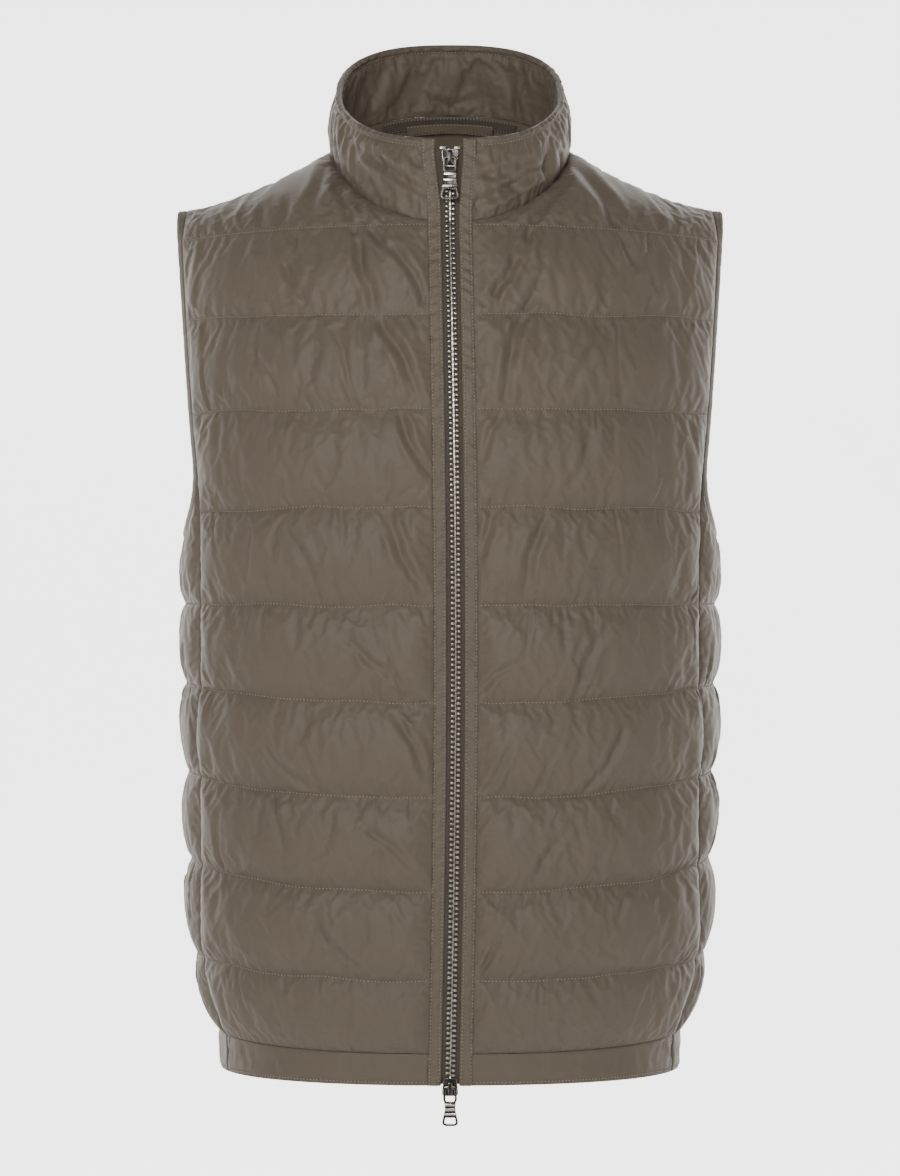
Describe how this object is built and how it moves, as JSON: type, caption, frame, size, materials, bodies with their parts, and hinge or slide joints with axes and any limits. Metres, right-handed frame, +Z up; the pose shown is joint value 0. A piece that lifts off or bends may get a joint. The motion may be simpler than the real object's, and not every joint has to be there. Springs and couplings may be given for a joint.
{
  "type": "quilted vest",
  "caption": "Sleeveless quilted vest with a padded stand collar and a full-length two-way metal zip, shown worn and empty",
  "frame": {"origin": "midway between the two shoulder seams, at the height where the wearer's shoulders hold the vest", "axes": "+X towards the right of the front view (the wearer's left), -Y to the front, +Z up"},
  "size_m": [0.3924, 0.2645, 0.7696],
  "materials": {
    "quilted_nylon": "taupe light nylon over padding, fine plain weave with a soft satin sheen, puckered at the quilting",
    "plain_nylon": "the same taupe nylon, unpadded, topstitched",
    "zip_tape": "dull darker taupe woven tape",
    "zip_teeth": "polished nickel zip teeth",
    "slider_metal": "dark gunmetal, polished and rubbed bright along the edges"
  },
  "bodies": {
    "root": {"front_left": "quilted_nylon", "front_right": "quilted_nylon", "side_left": "quilted_nylon", "side_right": "quilted_nylon", "back": "quilted_nylon", "armhole_binding_left": "plain_nylon", "armhole_binding_right": "plain_nylon", "hem_band_front_left": "plain_nylon", "hem_band_front_right": "plain_nylon", "hem_band_back": "plain_nylon", "collar": "quilted_nylon", "placket_left": "plain_nylon", "placket_right": "plain_nylon", "zip_tape_left": "zip_tape", "zip_tape_right": "zip_tape", "zip_chain": "zip_teeth", "slider_top": "slider_metal", "slider_bottom": "slider_metal", "back_neck_tape": "zip_tape", "hanger_loop": "plain_nylon"},
    "top_pull": {"pull_top": "slider_metal"},
    "bottom_pull": {"pull_bottom": "slider_metal"}
  },
  "joints": [
    {"name": "top_pull_hinge", "type": "hinge", "parent": "root", "child": "top_pull", "pos_m": [0, -0.1068, 0.00654], "axis": [-1, 0, 0], "range_deg": [0, 165]},
    {"name": "bottom_pull_hinge", "type": "hinge", "parent": "root", "child": "bottom_pull", "pos_m": [0.00007, -0.12241, -0.63151], "axis": [-1, 0, 0], "range_deg": [0, 165]}
  ]
}
